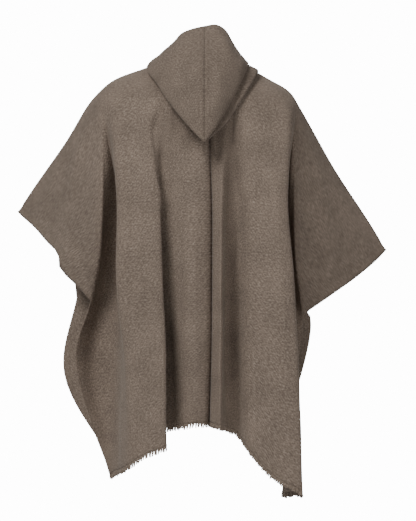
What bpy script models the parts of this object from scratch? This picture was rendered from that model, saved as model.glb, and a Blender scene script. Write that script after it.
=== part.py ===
"""A hooded wool poncho, filled out as if worn, with nobody in it.

Two long widths of cloth run from the front hem over the shoulders to the back hem. They are
sewn together down the middle, except for a neck slit. A hood of two halves is sewn into the
slit and lies back, and the four hem ends are frayed into a fringe.

Metres, +Z up. The front faces -Y, the wearer's left is +X, and the origin is where the
garment rests on the shoulders, level with the base of the neck. The tables are in
millimetres.
"""

import math

import bmesh
import bpy
import numpy as np

MM = 0.001
CLOTH = 3.0
HOOD_CLOTH = 2.2
THIN = 0.5
# How closely the faces at a point must agree before a crease thins the wall there.
CREASE_FACING = (0.3, 0.8)
SEAM_GAP = 0.3
HEM_GAP = 1.1

# How finely the cloth is divided: strips between two fold lines, rows over the shoulder, rows
# from there to the waist and rows on to the hem.
STRIPS = 2
SMOOTH = 8
SHOULDER_ROWS = 4
UPPER_ROWS = 8
LOWER_ROWS = 5
# How evenly the shoulder rows are spread.
SHOULDER_SPREAD = 1.4

FACES = ("back", "front")
SIDES = ("left", "right")
OUTWARD = {"back": 1, "front": -1, "left": 1, "right": -1}

# The shoulder line of each side, from the side of the neck to the end of the arm.
SHOULDER_LINE = {
    "left": (
        (82, 0, 22),
        (165, 0, 2),
        (244, -8, -32),
        (295, -22, -77),
        (342, -55, -145),
        (506, -190, -364),
    ),
    "right": (
        (-82, 0, 22),
        (-148, 0, -14),
        (-205, -6, -45),
        (-241, -16, -88),
        (-300, -40, -188),
        (-482, -115, -467),
    ),
}
# The middle of the neck slit's two edges.
NECK_MIDDLE = {"back": (-8, 82, -22), "front": (-8, -98, -80)}
NECK_DIP = 1.5

# Where each fold line leaves the top edge: -1 to 0 runs round the neck slit from its middle
# to its side, and 0 to 1 along the shoulder line out to the end of the arm.
TOPS = {
    "left": (-1.0, -0.62, -0.3, 0.0, 0.085, 0.15, 0.25, 0.36, 0.52, 0.76, 1.0),
    "right": (-1.0, -0.62, -0.3, 0.0, 0.06, 0.15, 0.24, 0.32, 0.52, 0.76, 1.0),
}

# From the shoulder, the first fold lines cross a yoke: how far it stands out, how much less
# of that toward the arm, and how far it drops at the neck and at the arm.
YOKE = {"back": (114, 45), "front": (108, 45)}
YOKE_REACH = 270.0
YOKE_DROP = (88, 50)
CREST_SHOULDER = 34.0
CREST_NECK = 10.0
CREST_CUFF = 20.0
# How soon the sleeve takes the shape of its free edge.
CUFF_REACH = 2.5

# The crease under the arm, from the yoke down to where the sleeve ends and the side falls.
CREASE_FROM = 7
CREASE = {
    ("left", "back"): ((262, 66, -112), (264, 88, -340), (272, 62, -480), (297, 8, -600)),
    ("right", "back"): ((-232, 50, -140), (-230, 72, -340), (-234, 50, -490), (-256, -5, -636)),
    ("left", "front"): ((270, -74, -112), (282, -106, -340), (302, -118, -480), (343, -116, -585)),
    ("right", "front"): ((-238, -72, -150), (-246, -96, -340), (-252, -98, -490), (-270, -70, -632)),
}
# The sleeve's free edge, from the end of the arm to the end of the crease.
CUFF = {
    ("left", "back"): ((457, -136, -406), (419, -92, -446), (385, -48, -478), (379, -28, -516),
                       (342, -12, -553)),
    ("left", "front"): ((455, -172, -408), (414, -158, -450), (376, -145, -496),
                        (350, -130, -545)),
    ("right", "back"): ((-441, -92, -506), (-399, -68, -539), (-352, -46, -571),
                        (-304, -26, -604)),
    ("right", "front"): ((-436, -110, -506), (-390, -104, -540), (-342, -94, -574),
                         (-298, -82, -606)),
}

# The levels of the sections that every fold line passes.
CHEST_Z = -340.0
WAIST_Z = -600.0
HIP_Z = {
    ("left", "back"): -745.0,
    ("right", "back"): -705.0,
    ("left", "front"): -794.0,
    ("right", "front"): -678.0,
}
# The seam between the two widths keeps one level, and the valley under the arm is as deep as
# its section from this share of the way down to the waist.
SEAM_HIP_Z = -720.0
VALLEY_SHARE = 0.38

# One row for each fold line from the middle seam to the selvedge:
# name, chest x and y, waist x and y, hip x and y, hem x, y and z.
FOLDS = {
    ("left", "back"): (
        ("seam", -18, 122, -18, 126, -17, 126, -12, 116, -907),
        ("centre", 48, 132, 46, 138, 45, 136, 42, 130, -909),
        ("recess", 94, 118, 90, 98, 88, 90, 86, 88, -919),
        ("under", 132, 112, 136, 74, 138, 64, 144, 74, -936),
        ("edge", 117, 144, 105, 157, 100, 165, 98, 171, -961),
        ("panel", 165, 152, 158, 164, 150, 172, 148, 182, -980),
        ("ridge", 220, 142, 217, 152, 196, 164, 186, 174, -1004),
        ("flank", 218, 78, 212, 86, 206, 116, 206, 138, -1020),
        ("side", 224, 34, 226, -14, 236, -6, 224, 70, -1034),
        ("fore", 246, 60, 268, -30, 292, -30, 236, 46, -1042),
        ("selvedge", 264, 88, 297, 8, 338, 16, 246, 34, -1050),
    ),
    ("right", "back"): (
        ("seam", -18, 122, -18, 126, -17, 126, -12, 116, -907),
        ("flap", -42, 146, -40, 158, -39, 160, -38, 154, -911),
        ("underflap", -60, 108, -54, 96, -52, 94, -58, 106, -920),
        ("recess", -80, 104, -76, 84, -75, 82, -86, 90, -937),
        ("body", -112, 132, -110, 136, -110, 134, -112, 134, -973),
        ("breadth", -168, 146, -172, 160, -176, 160, -180, 160, -1042),
        ("ridge", -208, 134, -225, 148, -231, 150, -247, 152, -1077),
        ("underridge", -204, 78, -218, 72, -224, 88, -228, 106, -1084),
        ("valley", -208, 34, -212, 4, -212, 28, -208, 62, -1092),
        ("fore", -218, 58, -236, -14, -226, 0, -200, 22, -1094),
        ("selvedge", -226, 84, -258, -5, -248, -14, -204, -18, -1094),
    ),
    ("left", "front"): (
        ("seam", -18, -140, -18, -150, -16, -146, -12, -136, -891),
        ("centre", 42, -152, 40, -168, 38, -164, 36, -155, -894),
        ("recess", 84, -136, 85, -134, 84, -124, 82, -112, -908),
        ("under", 122, -128, 124, -118, 122, -112, 120, -118, -926),
        ("edge", 128, -152, 134, -172, 134, -178, 138, -180, -941),
        ("panel", 178, -148, 178, -164, 176, -164, 172, -160, -961),
        ("ridge", 214, -136, 214, -150, 206, -146, 200, -138, -986),
        ("flank", 224, -110, 232, -112, 232, -116, 228, -124, -1006),
        ("side", 236, -82, 252, -70, 270, -72, 234, -92, -1016),
        ("fore", 258, -84, 296, -80, 322, -84, 246, -66, -1022),
        ("selvedge", 282, -106, 343, -116, 374, -104, 247, -50, -1022),
    ),
    ("right", "front"): (
        ("seam", -18, -140, -18, -150, -16, -146, -12, -136, -891),
        ("flap", -40, -148, -42, -160, -42, -158, -44, -152, -894),
        ("underflap", -68, -130, -70, -132, -72, -126, -74, -120, -902),
        ("recess", -100, -126, -104, -124, -104, -120, -104, -120, -920),
        ("body", -150, -150, -150, -168, -148, -168, -146, -166, -946),
        ("breadth", -190, -134, -194, -146, -192, -144, -188, -140, -976),
        ("ridge", -214, -132, -222, -154, -222, -158, -216, -158, -1016),
        ("underridge", -216, -104, -214, -110, -216, -116, -214, -122, -1031),
        ("valley", -214, -72, -208, -70, -216, -74, -204, -92, -1046),
        ("fore", -226, -76, -238, -64, -250, -66, -200, -60, -1051),
        ("selvedge", -246, -96, -270, -70, -279, -72, -174, -34, -1056),
    ),
}

# The hood's halves, one row for each section from the middle of the back round the neck to
# the middle of the front: where the section meets the neck slit (-1 back, 0 side, 1 front),
# then the points rim, swell, drop, fold, band, under and rise.
HOOD = {
    "left": (
        (-1.0, (1, 92, 103), (1, 142, 34), (1, 180, -76), (1, 198, -201),
         (1, 190, -200), (1, 158, -120), (1, 124, -24)),
        (-0.82, (30, 88, 97), (38, 140, 28), (40, 172, -66), (38, 183, -162),
         (39, 173, -159), (33, 142, -92), (27, 118, -16)),
        (-0.62, (60, 76, 86), (78, 122, 38), (84, 144, -30), (86, 148, -102),
         (83, 133, -104), (68, 116, -46), (54, 102, 0)),
        (-0.42, (80, 52, 66), (106, 86, 38), (122, 108, -2), (122, 116, -46),
         (119, 107, -47), (100, 80, -5), (80, 64, 15)),
        (-0.2, (102, 22, 47), (125, 44, 26), (142, 55, 13), (150, 56, 0),
         (146, 45, 5), (124, 38, 16), (100, 30, 25)),
        (0.0, (102, -8, 48), (115, 0, 40), (122, 2, 33), (126, 2, 26),
         (123, 0, 21), (110, 0, 26), (97, 0, 31)),
        (0.25, (84, -50, 38), (92, -52, 36), (98, -52, 32), (102, -51, 27),
         (100, -49, 22), (91, -47, 22), (82, -44, 22)),
        (0.6, (57, -90, -16), (62, -95, -18), (66, -97, -21), (69, -98, -25),
         (68, -96, -32), (60, -92, -38), (53, -87, -44)),
        (1.0, (-8, -122, -52), (-8, -121, -55), (-8, -120, -58), (-8, -118, -62),
         (-8, -116, -67), (-8, -112, -70), (-8, -106, -75)),
    ),
    "right": (
        (-1.0, (1, 92, 103), (1, 142, 34), (1, 180, -76), (1, 198, -201),
         (1, 190, -200), (1, 158, -120), (1, 124, -24)),
        (-0.82, (-28, 90, 107), (-32, 140, 30), (-32, 170, -66), (-28, 184, -160),
         (-44, 166, -160), (-34, 142, -92), (-27, 118, -16)),
        (-0.62, (-51, 78, 96), (-60, 126, 39), (-62, 148, -28), (-60, 152, -104),
         (-78, 132, -112), (-64, 116, -46), (-54, 102, 0)),
        (-0.42, (-70, 56, 68), (-83, 92, 35), (-94, 114, -1), (-91, 118, -42),
         (-112, 108, -57), (-97, 84, -15), (-80, 66, 10)),
        (-0.2, (-87, 24, 44), (-98, 50, 27), (-105, 64, 13), (-110, 68, 4),
         (-137, 44, -6), (-110, 34, 10), (-94, 27, 21)),
        (0.0, (-89, -8, 43), (-98, 0, 34), (-104, 4, 26), (-109, 8, 20),
         (-123, -1, 4), (-105, -7, 15), (-95, -3, 25)),
        (0.25, (-80, -50, 38), (-88, -52, 35), (-93, -52, 30), (-96, -51, 25),
         (-100, -49, 18), (-90, -47, 20), (-81, -44, 22)),
        (0.6, (-61, -90, -16), (-66, -95, -18), (-70, -97, -21), (-73, -98, -25),
         (-72, -96, -32), (-64, -92, -38), (-57, -87, -44)),
        (1.0, (-8, -122, -52), (-8, -121, -55), (-8, -120, -58), (-8, -118, -62),
         (-8, -116, -67), (-8, -112, -70), (-8, -106, -75)),
    ),
}
# Rows from each point of a section to the next, down to the neck slit.
HOOD_ROWS = (3, 3, 3, 1, 2, 2, 1)
# At the slit's ends the hood's edge stands higher over the cloth.
SLIT_END_LIFT = 3.0
SLIT_END_REACH = 0.35

# The frayed edge: the strip its strands are fused to, their spacing and the share of it that a
# strand fills, how far they drop and by how much that varies, how much they narrow to the tip,
# and how far they slant along the hem and sway from it.
STRIP_WIDTH = 4.0
STRAND_PITCH = 15.0
STRAND_SHARE = 0.42
STRAND_DROP = 15.0
STRAND_UNEVEN = 0.4
STRAND_TIP = 0.45
STRAND_SLANT = 4.0
STRAND_LEAN = 0.6
STRAND_SWAY = 1.2
GOLDEN = 0.618034

COLOURS = {
    "panel_left": (0.226, 0.178, 0.145),
    "panel_right": (0.209, 0.165, 0.135),
    "hood_left": (0.178, 0.141, 0.117),
    "hood_right": (0.172, 0.137, 0.113),
    "fringe_back_left": (0.262, 0.212, 0.175),
    "fringe_back_right": (0.255, 0.206, 0.171),
    "fringe_front_left": (0.258, 0.209, 0.173),
    "fringe_front_right": (0.251, 0.203, 0.168),
}
WOOL_ROUGHNESS = 0.95


def blend(start, end, share):
    return start + (end - start) * share


def bend(before, start, end, after, shares):
    """Points on a smooth curve from start to end, led by the points before and after."""
    steps = [max(np.linalg.norm(q - p), 0.001) ** 0.5
             for p, q in ((before, start), (start, end), (end, after))]
    first = end - start + steps[1] * (
        (start - before) / steps[0] - (end - before) / (steps[0] + steps[1]))
    last = end - start + steps[1] * (
        (after - end) / steps[2] - (after - start) / (steps[1] + steps[2]))
    t = np.asarray(shares)[:, None]
    return (
        (2 * t**3 - 3 * t**2 + 1) * start
        + (t**3 - 2 * t**2 + t) * first
        + (3 * t**2 - 2 * t**3) * end
        + (t**3 - t**2) * last
    )


def through(points, count):
    """A smooth line through the points, with count steps between each two."""
    points = np.array(points, float)
    led = np.vstack([2 * points[0] - points[1], points, 2 * points[-1] - points[-2]])
    shares = np.arange(count) / count
    parts = [bend(*led[i:i + 4], shares) for i in range(len(points) - 1)]
    return np.vstack(parts + [points[-1:]])


def along(line, share):
    """The point at a share of a line's length."""
    lengths = np.concatenate([[0], np.cumsum(np.linalg.norm(np.diff(line, axis=0), axis=1))])
    return np.array([np.interp(share * lengths[-1], lengths, line[:, k]) for k in range(3)])


SHOULDERS = {side: through(SHOULDER_LINE[side], SMOOTH) for side in SIDES}


def top_point(side, face, top):
    """A point on the neck slit's edge (top below 0) or on the shoulder line."""
    if top >= 0:
        return along(SHOULDERS[side], top)
    middle = np.array(NECK_MIDDLE[face], float)
    edge = np.array(SHOULDER_LINE[side][0], float)
    angle = -top * math.pi / 2
    return np.array([
        blend(edge[0], middle[0], 1 - math.cos(angle)),
        middle[1] * math.sin(angle),
        blend(edge[2], middle[2], math.sin(angle) ** NECK_DIP),
    ])


def yoke_point(side, face, top):
    start = top_point(side, face, top)
    depth, loss = YOKE[face]
    outward = OUTWARD[face] * (depth - loss * (start[0] / YOKE_REACH) ** 2)
    drop = blend(*YOKE_DROP, max(0.0, top) / TOPS[side][CREASE_FROM])
    return np.array([start[0], outward, start[2] - drop])


CREASES_DOWN = {key: through(points, SMOOTH) for key, points in CREASE.items()}


def fall_line(side, face, k, shoulder, start):
    """A fold line from the yoke to the hem, as a fine line of points."""
    _, chest_x, chest_y, waist_x, waist_y, hip_x, hip_y, *hem = FOLDS[side, face][k]
    return through([
        shoulder,
        start,
        (chest_x, chest_y, CHEST_Z),
        (waist_x, waist_y, WAIST_Z),
        (hip_x, hip_y, HIP_Z[side, face] if k else SEAM_HIP_Z),
        hem,
    ], SMOOTH)[SMOOTH:]


def at_levels(line, levels):
    """The points of a falling line at the given levels."""
    down = -line[:, 2]
    return np.column_stack([
        np.interp(-levels, down, line[:, 0]), np.interp(-levels, down, line[:, 1]), levels])


def over_shoulder(start, below, face, crest):
    points = []
    for i in range(SHOULDER_ROWS + 1):
        share = (i / SHOULDER_ROWS) ** SHOULDER_SPREAD
        point = blend(start, below, share)
        point[1] += OUTWARD[face] * crest * 2 * share**0.5 * (1 - share)
        points.append(point)
    return points


def sleeve_lines(side, face, first):
    """The sleeve as lines over the shoulder, from the first one out to its free edge."""
    down = CREASES_DOWN[side, face]
    cuff = through([SHOULDER_LINE[side][-1], *CUFF[side, face], down[-1]], SMOOTH)
    shares = (np.arange(SHOULDER_ROWS + 1) / SHOULDER_ROWS) ** SHOULDER_SPREAD
    edge = np.array([along(cuff, share) for share in shares])
    straight = np.array(over_shoulder(cuff[0], cuff[-1], face, CREST_CUFF))
    lines = [np.array(first)]
    for i in range(1, UPPER_ROWS + 1):
        share = i / UPPER_ROWS
        start = top_point(side, face, blend(TOPS[side][CREASE_FROM], 1, share))
        crest = blend(CREST_SHOULDER, CREST_CUFF, share)
        line = np.array(over_shoulder(start, along(down, share), face, crest))
        lines.append(line + (edge - straight) * share**CUFF_REACH)
    return lines


def drape(side, face):
    """Half a panel in three sheets of points: the shoulder, the sleeve and the fall."""
    tops = TOPS[side]
    lines = []
    for k in range(CREASE_FROM + 1):
        if k == CREASE_FROM:
            below, crest = CREASES_DOWN[side, face][0], CREST_SHOULDER
        else:
            below = yoke_point(side, face, tops[k])
            crest = blend(CREST_SHOULDER, CREST_NECK, max(0.0, -tops[k]))
        lines.append(over_shoulder(top_point(side, face, tops[k]), below, face, crest))
    sleeve = sleeve_lines(side, face, lines[-1])
    wide = CREASE_FROM * STRIPS + 1
    beyond = sleeve[UPPER_ROWS // 6]
    shoulder = np.array([
        through([line[row] for line in lines] + [beyond[row]], STRIPS)[:wide]
        for row in range(SHOULDER_ROWS + 1)
    ])
    column_tops = through([(top, 0, 0) for top in tops], STRIPS)[:wide, 0]
    shoulder[0] = [top_point(side, face, top) for top in column_tops]
    crease = np.array([line[-1] for line in sleeve])
    steps = np.arange(1, UPPER_ROWS + 1) / UPPER_ROWS
    lower = np.arange(1, LOWER_ROWS + 1) / LOWER_ROWS
    last = len(tops) - 1
    falls = []
    for k in range(last + 1):
        over = lines[min(k, CREASE_FROM)]
        line = fall_line(side, face, k, over[SHOULDER_ROWS // 2], over[-1])
        levels = blend(over[-1][2], WAIST_Z, steps)
        place = max(0.0, (k - CREASE_FROM) / (last - CREASE_FROM))
        levels = blend(levels, crease[1:, 2], place)
        upper = crease[1:] if k == last else at_levels(line, levels)
        hem_z = FOLDS[side, face][k][-1]
        falls.append(np.vstack([upper, at_levels(line, blend(upper[-1][2], hem_z, lower))]))
    for k in range(CREASE_FROM + 1, last):
        flat = blend(falls[CREASE_FROM], falls[last], (k - CREASE_FROM) / (last - CREASE_FROM))
        depth = np.clip(steps / VALLEY_SHARE, 0, 1)[:, None]
        falls[k][:UPPER_ROWS] = blend(flat[:UPPER_ROWS], falls[k][:UPPER_ROWS], depth)
    falls = np.array(falls)
    hang = [through(falls[:, row], STRIPS) for row in range(falls.shape[1])]
    repeated = [crease[0]] * (len(hang[0]) - shoulder.shape[1])
    hang.insert(0, np.vstack([shoulder[-1], repeated]))
    return shoulder, np.array(sleeve).transpose(1, 0, 2), np.array(hang)


def panel(side):
    """One width of cloth: points, faces, seam points, neck rows, hem rows and rows above."""
    points, number, faces = [], {}, []

    def add(point):
        key = tuple(np.round(point, 3) + 0.0)
        if key not in number:
            number[key] = len(points)
            points.append(point)
        return number[key]

    seams, neck, hem, above = set(), {}, {}, {}
    for face in FACES:
        sheets = drape(side, face)
        for sheet in sheets:
            index = np.array([[add(point) for point in row] for row in sheet])
            faces += quads(index, (side == "left") == (face == "back"))
            if sheet is sheets[0]:
                neck[face] = index[0, :TOPS[side].index(0.0) * STRIPS + 1]
                seams |= set(index[:, 0])
        seams |= set(index[:, 0])
        hem[face], above[face] = index[-1], index[-2]
    return np.array(points), faces, seams, neck, hem, above


def quads(index, outward):
    """The faces of a sheet. A row drawn together at a point gives triangles."""
    faces = []
    for row in range(index.shape[0] - 1):
        for column in range(index.shape[1] - 1):
            face = (index[row, column], index[row, column + 1],
                    index[row + 1, column + 1], index[row + 1, column])
            face = tuple(dict.fromkeys(face if outward else face[::-1]))
            if len(face) > 2:
                faces.append(face)
    return faces


def normals(points, faces, seams):
    """Each point's outward direction, shortened where a sharp crease thins the wall."""
    face_normals = []
    total = np.zeros_like(points)
    for face in faces:
        corners = points[list(face)]
        normal = np.cross(corners[2] - corners[0], corners[-1] - corners[1])
        normal /= np.linalg.norm(normal)
        total[list(face)] += normal
        face_normals.append(normal)
    for corner in seams:
        total[corner, 0] = 0
    total /= np.maximum(np.linalg.norm(total, axis=1), 0.001)[:, None]
    facing = np.ones(len(points))
    for face, normal in zip(faces, face_normals):
        for corner in face:
            facing[corner] = min(facing[corner], total[corner] @ normal)
    return total * np.interp(facing, CREASE_FACING, (THIN, 1))[:, None]


def wall(points, faces, outward, thickness):
    """A closed wall of cloth about a sheet of faces."""
    half = thickness / 2
    used = sorted({corner for face in faces for corner in face})
    renumber = {corner: i for i, corner in enumerate(used)}
    inner_start = len(used)
    outer = points[used] + outward[used] * half
    inner = points[used] - outward[used] * half
    closed = [[renumber[c] for c in face] for face in faces]
    edges = {}
    for face in closed:
        for i, corner in enumerate(face):
            edges[corner, face[(i + 1) % len(face)]] = True
    closed += [[c + inner_start for c in reversed(face)] for face in closed]
    for a, b in edges:
        if (b, a) not in edges:
            closed.append([b, a, a + inner_start, b + inner_start])
    return np.vstack([outer, inner]), closed


def pick(line, place, count):
    """A point on a smooth line at a number of control points, whole or not."""
    steps = np.arange(len(line)) / count
    return np.array([np.interp(place, steps, line[:, k]) for k in range(3)])


def hood(panels, side):
    """Half the hood as a sheet: its points, its faces and its seam points."""
    panel_points, _, _, neck, _, _, outward = panels[side]
    tops = through([(top, 0, 0) for top in TOPS[side]], STRIPS)[:len(neck["back"]), 0]
    back = list(zip(tops, neck["back"]))
    front = list(zip(-tops, neck["front"]))[-2::-1]
    sections = np.array([section[1:] for section in HOOD[side]], float)
    places = [section[0] for section in HOOD[side]]
    lines = [through(sections[:, k], SMOOTH) for k in range(sections.shape[1])]
    columns = []
    for place, corner in back + front:
        number = np.interp(place, places, range(len(places)))
        lift = (CLOTH + HOOD_CLOTH) / 2 + SEAM_GAP
        lift += SLIT_END_LIFT * max(0, 1 - abs(place) / SLIT_END_REACH)
        seam = panel_points[corner] + outward[corner] * lift
        column = through([pick(line, number, SMOOTH) for line in lines] + [seam], SMOOTH)
        stations = [k + i / count for k, count in enumerate(HOOD_ROWS) for i in range(count)]
        columns.append([pick(column, station, SMOOTH) for station in stations] + [seam])
    points = np.array(columns).transpose(1, 0, 2)
    rows, count, _ = points.shape
    index = np.arange(rows * count).reshape(rows, count)
    seams = set(index[:, 0]) | set(index[:, -1])
    return points.reshape(-1, 3), quads(index, side == "left"), seams


def fringe(panel_parts, face):
    """A frayed edge under one hem: a narrow strip of cloth with strands fused to it."""
    points, _, _, _, hem_rows, rows_above, outward = panel_parts
    hem = points[hem_rows[face]]
    down = hem - points[rows_above[face]]
    down /= np.linalg.norm(down, axis=1)[:, None]
    step = outward[hem_rows[face]] * CLOTH / 2
    corners, stations, strands = [], [], []
    for i in range(len(hem) - 1):
        length = np.linalg.norm(hem[i + 1] - hem[i])
        count = max(1, round(length / STRAND_PITCH))
        for j in range(count):
            stations.append(i + j / count)
            stations.append(i + (j + 0.5 - STRAND_SHARE / 2) / count)
            strands.append(len(stations) - 1)
            stations.append(i + (j + 0.5 + STRAND_SHARE / 2) / count)
    stations.append(len(hem) - 1.0)

    def place(station, rows):
        low = min(int(station), len(hem) - 2)
        return blend(rows[low], rows[low + 1], station - low)

    for station in stations:
        base, drop, out = (place(station, rows) for rows in (hem, down, step))
        for depth in (HEM_GAP, HEM_GAP + STRIP_WIDTH):
            corners += [base + drop * depth + out, base + drop * depth - out]
    faces = []
    last = 4 * (len(stations) - 1)
    for i in range(len(stations) - 1):
        a, b = 4 * i, 4 * (i + 1)
        faces += [(a, b, b + 1, a + 1), (a, a + 2, b + 2, b), (a + 1, b + 1, b + 3, a + 3)]
        if i not in strands:
            faces.append((a + 2, a + 3, b + 3, b + 2))
    faces += [(0, 1, 3, 2), (last, last + 2, last + 3, last + 1)]
    for number, i in enumerate(strands):
        root = [4 * i + 2, 4 * i + 3, 4 * i + 7, 4 * i + 6]
        middle = sum(corners[c] for c in root) / 4
        drop = place(stations[i], down)
        first = min(int(stations[i]), len(hem) - 2)
        run = hem[first + 1] - hem[first]
        run /= np.linalg.norm(run)
        out = np.cross(run, drop)
        chance = (number * GOLDEN) % 1 - 0.5
        length = STRAND_DROP * (1 + STRAND_UNEVEN * chance)
        slant = run * STRAND_SLANT * (STRAND_LEAN + chance)
        tip = middle + drop * length + slant + out * STRAND_SWAY * chance
        end = [len(corners) + k for k in range(4)]
        corners += [tip + (corners[c] - middle) * STRAND_TIP for c in root]
        for k in range(4):
            faces.append((root[k], root[(k + 1) % 4], end[(k + 1) % 4], end[k]))
        faces.append(tuple(end))
    return np.array(corners), faces


def add_object(name, points, faces, shift):
    mesh = bpy.data.meshes.new(name)
    corners = [[int(corner) for corner in face] for face in faces]
    mesh.from_pydata(((points + (shift, 0, 0)) * MM).tolist(), [], corners)
    shape = bmesh.new()
    shape.from_mesh(mesh)
    bmesh.ops.recalc_face_normals(shape, faces=shape.faces)
    bmesh.ops.triangulate(shape, faces=shape.faces, quad_method="BEAUTY")
    shape.to_mesh(mesh)
    shape.free()
    material = bpy.data.materials.new(name)
    material.use_nodes = True
    shader = material.node_tree.nodes["Principled BSDF"]
    shader.inputs["Base Color"].default_value = (*COLOURS[name], 1)
    shader.inputs["Roughness"].default_value = WOOL_ROUGHNESS
    mesh.materials.append(material)
    bpy.context.scene.collection.objects.link(bpy.data.objects.new(name, mesh))


def build():
    for item in list(bpy.data.objects):
        bpy.data.objects.remove(item, do_unlink=True)
    panels = {}
    for side in SIDES:
        parts = panel(side)
        panels[side] = (*parts, normals(*parts[:3]))
    for side in SIDES:
        shift = OUTWARD[side] * SEAM_GAP / 2
        points, faces, outward = panels[side][0], panels[side][1], panels[side][-1]
        add_object("panel_" + side, *wall(points, faces, outward, CLOTH), shift)
        points, faces, seams = hood(panels, side)
        outward = normals(points, faces, seams)
        add_object("hood_" + side, *wall(points, faces, outward, HOOD_CLOTH), shift)
        for face in FACES:
            add_object("fringe_%s_%s" % (face, side), *fringe(panels[side], face), shift)


build()
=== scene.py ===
"""The finish of a hooded wool poncho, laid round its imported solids.

Each width of cloth, hood half and frayed end is made again as real cloth on its solid's form:
a thin woven shell with softer, finer folds, sewn seams and loose yarn ends.

The tables are in millimetres, in the frame of the solids: +Z up, the front faces -Y and the
wearer's left is +X. The meshes and the settings are in metres.
"""

import math

import bmesh
import bpy
import numpy as np
from bpy.props import FloatProperty, FloatVectorProperty, IntProperty, PointerProperty
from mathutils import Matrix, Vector


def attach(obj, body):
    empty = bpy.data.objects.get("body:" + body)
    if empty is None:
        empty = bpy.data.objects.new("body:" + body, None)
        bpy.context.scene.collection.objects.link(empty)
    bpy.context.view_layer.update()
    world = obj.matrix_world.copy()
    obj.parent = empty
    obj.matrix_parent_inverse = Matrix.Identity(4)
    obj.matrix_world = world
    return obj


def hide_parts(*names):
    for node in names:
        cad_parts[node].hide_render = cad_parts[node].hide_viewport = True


bl_info = {
    "name": "Hooded Poncho",
    "version": (1, 0, 0),
    "blender": (4, 5, 0),
    "location": "View3D > Sidebar > Poncho",
    "description": "Makes the cloth, hood, seams and frayed ends of a hooded wool poncho",
    "category": "Object",
}

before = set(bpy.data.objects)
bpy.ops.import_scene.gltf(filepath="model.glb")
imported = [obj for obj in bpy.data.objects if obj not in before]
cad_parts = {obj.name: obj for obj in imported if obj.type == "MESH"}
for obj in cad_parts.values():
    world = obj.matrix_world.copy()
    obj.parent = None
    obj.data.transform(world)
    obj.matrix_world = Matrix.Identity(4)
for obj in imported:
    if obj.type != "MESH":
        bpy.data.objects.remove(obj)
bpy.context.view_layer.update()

MM = 0.001
# The least step between two points of a line, in millimetres, and two stand-ins for no
# length and for no distance found yet.
LEAST_STEP = 0.001
TINY = 1e-9
FAR = 1e9
BODY = "root"

# How finely the cloth is divided: strips between two fold lines, steps between two points of a
# smooth line, rows over the shoulder, rows from there to the waist and rows on to the hem.
STRIPS = 9
SMOOTH = 8
SHOULDER_ROWS = 16
UPPER_ROWS = 54
LOWER_ROWS = 44
# How evenly the shoulder rows are spread.
SHOULDER_SPREAD = 1.4

# The flat cloth: the width of a panel from the middle seam to the selvedge, and how far down
# from the shoulder line the yoke, the waist and the hem come.
CUT_WIDTH = 600.0
CUT_DEPTHS = (150.0, 610.0, 975.0)
# The folds are rounded off in rounds that draw the cloth in and push it back out. This many
# more rounds follow after the smaller creases are pressed in.
SOFTEN = (0.5, -0.52)
SOFTEN_CREASES = 2
# How quickly a crease fades at its ends, and on cloth that turns away from its face.
CREASE_ENDS = 5
CREASE_FACING = 2
# The small waves, one row each: its share of the ripple's height, how quickly it runs across
# and down the flat cloth and along y and z, how much it bends, and over what it bends.
WAVES = (
    (0.5, (31, 7, 0, 0), 2.1, (3, 9, 0, 0)),
    (0.35, (57, -11, 0, 0), 1.7, (-8, 17, 0, 0)),
    (0.25, (19, 23, 0, 0), 1.3, (41, 0, 0, 0)),
    (0.2, (83, 0, 0, 29), 2.0, (0, 0, 23, 12)),
)
# How far from the middle seam the cloth is free of it.
SEAM_REACH = 30.0
# How deep and how wide the middle seam draws the cloth in.
SEAM_DEPTH = 12.0
SEAM_WIDTH = 8.0
# The groove beside the selvedge's narrow hem: its distance from the edge, width and depth.
SELVEDGE_HEM = 9.0
SELVEDGE_GROOVE = (3.2, 1.5)

FACES = ("back", "front")
SIDES = ("left", "right")
OUTWARD = {"back": 1, "front": -1, "left": 1, "right": -1}

# The shoulder line of each side, from the side of the neck to the end of the arm.
SHOULDER_LINE = {
    "left": (
        (82, 0, 22),
        (165, 0, 2),
        (244, -8, -32),
        (295, -22, -77),
        (342, -55, -145),
        (506, -190, -364),
    ),
    "right": (
        (-82, 0, 22),
        (-148, 0, -14),
        (-205, -6, -45),
        (-241, -16, -88),
        (-300, -40, -188),
        (-482, -115, -467),
    ),
}
# The middle of the neck slit's two edges.
NECK_MIDDLE = {"back": (-8, 82, -22), "front": (-8, -98, -80)}
NECK_DIP = 1.5

# Where each fold line leaves the top edge: -1 to 0 runs round the neck slit from its middle
# to its side, and 0 to 1 along the shoulder line out to the end of the arm.
TOPS = {
    "left": (-1.0, -0.62, -0.3, 0.0, 0.085, 0.15, 0.25, 0.36, 0.52, 0.76, 1.0),
    "right": (-1.0, -0.62, -0.3, 0.0, 0.06, 0.15, 0.24, 0.32, 0.52, 0.76, 1.0),
}

# From the shoulder, the first fold lines cross a yoke: how far it stands out, how much less
# of that toward the arm, and how far it drops at the neck and at the arm.
YOKE = {"back": (114, 45), "front": (108, 45)}
YOKE_REACH = 270.0
YOKE_DROP = (88, 50)
# How far the cloth swells out on its way over the shoulder: at the shoulder, beside the neck
# and at the sleeve's free edge.
CREST_SHOULDER = 34.0
CREST_NECK = 10.0
CREST_CUFF = 20.0
# How soon the sleeve takes the shape of its free edge.
CUFF_REACH = 2.5

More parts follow.
